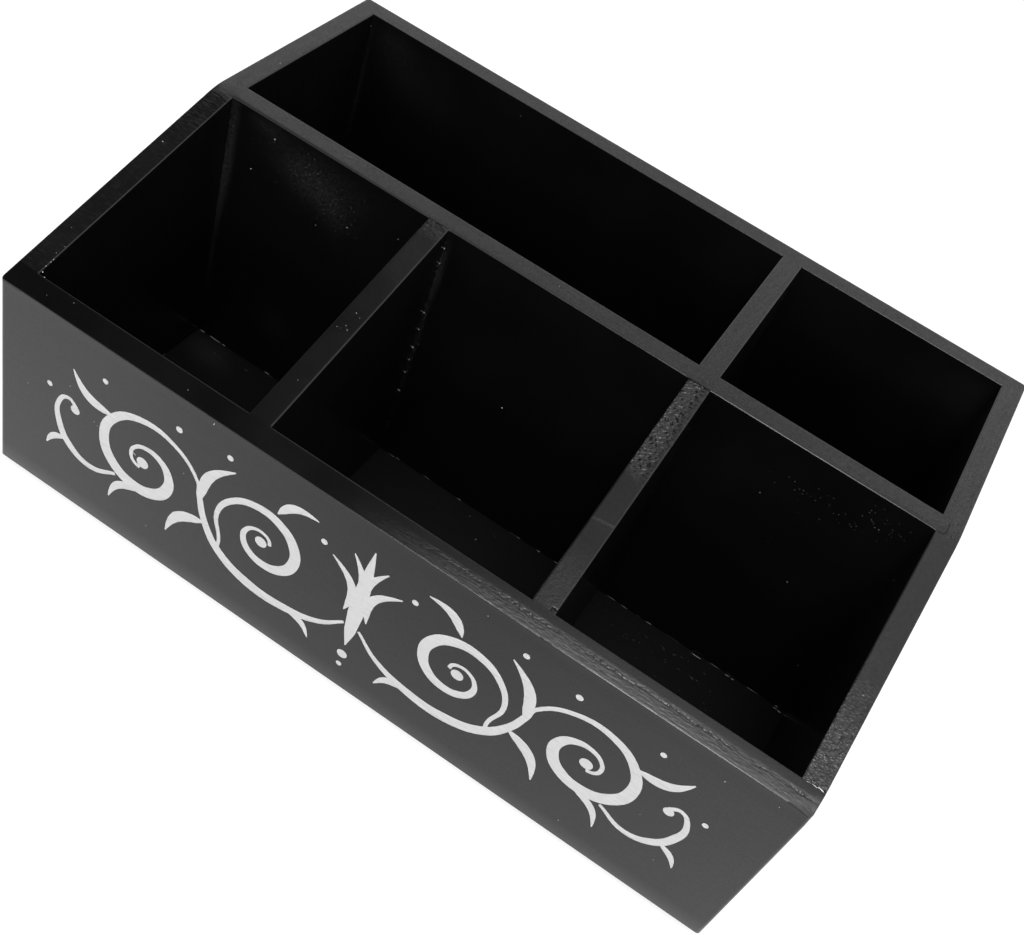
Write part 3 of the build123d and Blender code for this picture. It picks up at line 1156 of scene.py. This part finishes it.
flecksAndGlints = {  # specks of light paint and dust, and silver dashes that are painted glints: place, half length, half width, turn in degrees
    "up": [
        (-147.3, -27.9, 0.26, 0.20, 0), (-146.1, -73.0, 0.16, 0.14, 0), (-77.2, -97.2, 0.22, 0.16, 30),
        (-53.2, -43.6, 0.22, 0.18, 0), (-51.2, -44.5, 0.20, 0.16, 0), (-52.9, -49.5, 0.22, 0.18, 0),
        (-51.6, -50.6, 0.20, 0.16, 0), (-52.6, -74.5, 0.18, 0.14, 0), (-55.0, -51.5, 0.16, 0.12, 0),
        (148.3, -92.35, 1.5, 0.26, -12), (146.2, -92.4, 1.5, 0.18, -5), (144.0, -92.45, 1.2, 0.11, 5),
        (-142.5, -79.9, 0.20, 0.16, 0),
        (-143.0, -83.3, 0.20, 0.16, 0), (-141.9, -85.7, 0.16, 0.14, 0), (-141.9, -86.8, 0.18, 0.14, 0),
        (-142.0, -88.9, 0.18, 0.16, 20), (-141.2, -91.2, 0.20, 0.18, 0), (-139.4, -92.3, 0.16, 0.12, 0),
        (-134.2, -96.9, 0.16, 0.14, 0), (-125.7, -94.1, 0.22, 0.18, 0),
    ],
    "front": [
        (-109.3, 52.7, 0.16, 0.12, 0), (-107.9, 51.8, 0.20, 0.10, 40), (-106.6, 51.3, 0.24, 0.10, 30),
        (-105.3, 50.8, 0.18, 0.12, 0), (-73.8, 34.4, 1.3, 0.28, 62), (-63.9, 88.1, 0.9, 0.11, 80),
        (-92.0, 50.4, 0.8, 0.12, -25), (124.6, 80.9, 0.26, 0.2, 0), (-137.8, 50.0, 0.2, 0.16, 0),
        (-33.0, 22.0, 0.2, 0.16, 0), (91.0, 12.5, 0.22, 0.14, 20), (40.0, 84.0, 0.18, 0.14, 0),
    ],
    "inside": [
        (-122.1, 112.2, 0.26, 0.22, 0), (-129.7, 94.3, 0.26, 0.22, 0), (-86.4, 94.8, 0.22, 0.18, 0),
        (-7.4, 59.7, 0.3, 0.2, 30), (88.6, 92.0, 0.2, 0.16, 0), (113.8, 62.8, 0.2, 0.16, 0),
        # dots down a corner of the middle front compartment: dried glue, painted bright as its glints
        (-48.3, 110.5, 0.3, 0.26, 0), (-48.2, 103.5, 0.24, 0.2, 0), (-48.2, 79.6, 0.26, 0.22, 0),
        (-48.3, 70.9, 0.32, 0.28, 0), (-48.3, 61.5, 0.3, 0.26, 0), (-48.3, 54.9, 0.3, 0.26, 0),
        (-48.3, 48.0, 0.26, 0.22, 0), (-48.3, 37.7, 0.34, 0.28, 0),
        # silver dashes along the foot of the centre divider: painted glints
        (-139.6, 3.35, 1.2, 0.12, 4), (-133.2, 3.3, 3.0, 0.16, -3), (-128.6, 3.3, 0.8, 0.12, 0),
        (-106.4, 3.3, 1.3, 0.11, 0), (-40.0, 3.3, 0.9, 0.08, 0),
    ],
    "floor": [
        # silver dashes on the floor by the centre divider's foot: painted glints
        (102.6, 1.2, 2.4, 0.14, 0), (116.6, 1.5, 1.2, 0.12, 3), (118.9, 1.4, 0.6, 0.10, 0),
        (138.2, 0.9, 1.0, 0.13, 4), (140.2, 0.6, 0.9, 0.12, -6),
    ],
}


dustAndGlints = [  # clusters of fine specks: facing, middle, half length, half width, tilt, number, size, stretch
    ("inside", 100, 103.0, 16, 5, 5, 16, 0.15, 1.0),
    ("inside", 116, 105.0, 15, 6, 12, 24, 0.15, 1.0),
    ("inside", 131, 108.0, 12, 6, 14, 24, 0.15, 1.0),
    ("inside", 110, 70, 26, 26, 0, 9, 0.12, 1.0),
    ("inside", -105, 104.0, 18, 12, -18, 70, 0.12, 1.0),
    ("inside", -93, 99, 15, 11, -30, 40, 0.11, 1.0),
    # specks down a corner of the middle front compartment: dust and painted glints
    ("inside", -47.4, 74, 36, 0.7, 90, 26, 0.14, 1.0),
    # streaks on the floor near the centre divider's foot: dust and painted glints
    ("floor", 94, -9.5, 24, 1.2, 0, 22, 0.09, 9.0),
    ("floor", 84, -4.0, 28, 1.2, 0, 18, 0.09, 9.0),
    ("floor", 96, -22, 32, 9, 0, 40, 0.08, 9.0),
    ("floor", -118, -3, 20, 4, 0, 10, 0.09, 9.0),
    ("floor", 10, -5, 36, 3, 0, 8, 0.08, 9.0),
    ("up", -52.8, -50, 8, 2.5, 90, 6, 0.12, 1.2),
]


def dustAndGlintRows(chance):
    for facing, x, second, length, width, tilt, number, size, stretch in dustAndGlints:
        turn = math.radians(tilt)
        for _ in range(number):
            along, aside = chance.gauss(0, 0.5) * length, chance.gauss(0, 0.5) * width
            half = size * chance.uniform(0.5, 1.3)
            yield facing, (
                x + along * math.cos(turn) - aside * math.sin(turn),
                second + along * math.sin(turn) + aside * math.cos(turn),
                half * chance.uniform(1, stretch),
                half,
                chance.uniform(-4, 4) if stretch > 2 else chance.uniform(0, 180),
            )


fleckPlan = {
    "thick": 0.05,
    "sunk": {"up": 0.05, "floor": 0.02, "front": 0.055},
    "underRim": 1.5,  # the least distance of an inside speck from the top
    "facets": (8, 5),
}


def makeFlecks(name, rows, look):
    sunk = fleckPlan["sunk"]
    highest = box["backTop"] - fleckPlan["underRim"]
    bm = bmesh.new()
    lean = Matrix.Rotation(math.radians(90), 4, "X")
    for facing, (x, second, length, width, turn) in rows:
        flake = Matrix.Diagonal((length, width, fleckPlan["thick"], 1))
        shape = Matrix.Rotation(math.radians(turn), 4, "Z") @ flake
        if facing == "up":
            tilt = Matrix.Rotation(slope if second < box["kink"] else 0, 4, "X")
            placed = Matrix.Translation((x, second, rimHeight(second) - sunk["up"])) @ tilt @ shape
        elif facing == "floor":
            placed = Matrix.Translation((x, second, box["foot"] - sunk["floor"])) @ shape
        else:
            y = box["front"] + sunk["front"] if facing == "front" else centreFront
            placed = Matrix.Translation((x, y, min(second, highest))) @ lean @ shape
        addBall(bm, fleckPlan["facets"], placed)
    return makePiece(name, bm, "silver_paint", look)


makeFlecks("paint_flecks_and_glints", [(facing, row) for facing, each in flecksAndGlints.items() for row in each], silver)
makeFlecks("dust_and_glint_specks", dustAndGlintRows(random.Random(5)), dustAndSheen)
print("organizer: flecks made")


ornament = {  # a generic mirrored scroll in silver paint, in millimetres from the middle and the table
    "layer": 0.10,
    "stagger": (0.002, 8),  # strokes that cross lie this far apart in depth, in this many layers
    "rounding": 0.3,  # half width of the rounded sides of a stroke, before it is flattened
    "scrollPoints": 16,
    "leafPoints": 7,
    "thinnest": (0.8, 0.25),  # of scrolls and of leaves
    "stems": [  # points with their half widths
        [
            (3, 38, 0.7), (12, 29.5, 1.2), (26, 24.5, 2.0), (41, 24.5, 2.4), (54, 30.5, 2.0),
            (61.5, 41, 1.5), (65, 52, 1.2),
        ],
        [
            (99, 34, 0.7), (110, 29, 1.3), (119, 33, 1.7), (124, 42, 1.5), (124.5, 51, 1.1),
            (120.5, 56, 0.9), (116.8, 53.5, 0.9),
        ],
    ],
    "scrolls": [  # start, middle, first angle, turns, widest, narrowest, thickness
        ((65, 52, 1.2), (88, 48.5), 158, -1.62, 23.5, 3.2, 2.7),
        ((55, 31.2, 0.8), (38.5, 49), -38, 1.55, 20.5, 3.0, 2.5),
    ],
    "leaves": [  # root, tip, bow, thickness
        ((61, 40), (76, 23), 0.18, 2.3),
        ((64, 50), (53, 73), -0.16, 2.2),
        ((35.5, 67.5), (21, 76), -0.20, 1.9),
        ((88, 33.5), (101, 20.5), 0.2, 1.8),
        ((102, 61.5), (119, 71), -0.2, 2.1),
        ((25, 24.5), (14, 17.5), -0.2, 1.7),
        ((121, 35), (129, 27), 0.15, 1.4),
        ((4.5, 44), (13.5, 66), 0.22, 2.0),
        ((2, 50), (6.5, 73), 0.14, 1.7),
    ],
    "dots": [
        (39.1, 49.2, 2.3), (88.4, 48.6, 2.4), (117.4, 52.2, 1.9), (17.5, 69, 1.2),
        (128.5, 57, 1.1), (56, 78, 1.2), (106, 75, 1.1), (76, 75.5, 1.3),
    ],
    "middleLeaf": ((0, 27), (0, 79), 0.0, 3.4),
    "middleDots": [(0, 21.5, 2.0), (0, 15.5, 1.1)],
}


def scrollLine(start, middle, angle, turns, widest, narrowest, thickness):
    line = [start]
    thinnest = ornament["thinnest"][0]
    count = ornament["scrollPoints"]
    for i in range(count):
        share = i / (count - 1)
        turn = math.radians(angle + 360 * turns * share)
        reach = widest + (narrowest - widest) * share ** 0.85
        swell = thinnest + (thickness - thinnest) * math.sin(math.pi * min(share * 1.25, 1)) ** 1.5
        line.append((middle[0] + reach * math.cos(turn), middle[1] + reach * math.sin(turn), swell))
    return line


def leafLine(root, tip, bow, thickness):
    line = []
    thinnest = ornament["thinnest"][1]
    count = ornament["leafPoints"]
    acrossX, acrossZ = tip[0] - root[0], tip[1] - root[1]
    for i in range(count):
        share = i / (count - 1)
        side = bow * math.sin(math.pi * share)
        swell = thinnest + (thickness - thinnest) * math.sin(math.pi * share ** 0.75)
        x, z = root[0] + acrossX * share - acrossZ * side, root[1] + acrossZ * share + acrossX * side
        line.append((x, z, swell))
    return line


def strokeMesh(line, side):  # a tapered tube along the line
    curve = bpy.data.curves.new("stroke", "CURVE")
    curve.dimensions = "3D"
    curve.bevel_depth = 1.0
    curve.bevel_resolution = 2
    curve.resolution_u = 5
    curve.use_fill_caps = True
    spline = curve.splines.new("BEZIER")
    spline.bezier_points.add(len(line) - 1)
    for point, (x, z, thick) in zip(spline.bezier_points, line):
        point.co = (x * side, 0, z)
        point.radius = thick
        point.handle_left_type = point.handle_right_type = "AUTO"
    holder = bpy.data.objects.new("stroke", curve)
    bpy.context.scene.collection.objects.link(holder)
    bpy.context.view_layer.update()
    mesh = bpy.data.meshes.new_from_object(holder)
    bpy.data.objects.remove(holder)
    return mesh


def makeOrnament():
    lines = list(ornament["stems"])
    lines += [scrollLine(*each) for each in ornament["scrolls"]]
    lines += [leafLine(*each) for each in ornament["leaves"]]
    strokes = [(line, side) for line in lines for side in (1, -1)]
    strokes.append((leafLine(*ornament["middleLeaf"]), 1))
    dots = [(x * side, z, r) for x, z, r in ornament["dots"] for side in (1, -1)] + ornament["middleDots"]
    bm = bmesh.new()
    half = ornament["layer"] / 2
    step, layers = ornament["stagger"]
    for number, (line, side) in enumerate(strokes):
        mesh = strokeMesh(line, side)
        old = set(bm.verts)
        bm.from_mesh(mesh)
        bpy.data.meshes.remove(mesh)
        sink = half + step * (number % layers)
        for vert in bm.verts:
            if vert not in old:  # flattened to a layer with rounded sides
                bulge = max(-1.0, min(1.0, vert.co.y / ornament["rounding"]))
                vert.co.y = box["front"] + sink + half * bulge
    turned = Matrix.Rotation(math.radians(90), 4, "X")
    for number, (x, z, r) in enumerate(dots):
        sink = half + step * (number % layers) + step / 2
        placed = Matrix.Translation((x, box["front"] + sink, z)) @ turned
        bmesh.ops.create_cone(
            bm, cap_ends=True, segments=24, radius1=r, radius2=r, depth=2 * half, matrix=placed
        )
    bmesh.ops.remove_doubles(bm, verts=bm.verts, dist=1e-5)
    bmesh.ops.recalc_face_normals(bm, faces=bm.faces)
    return makePiece("silver_scroll", bm, "silver_paint", silver)


makeOrnament()
print("organizer: silver scroll made")
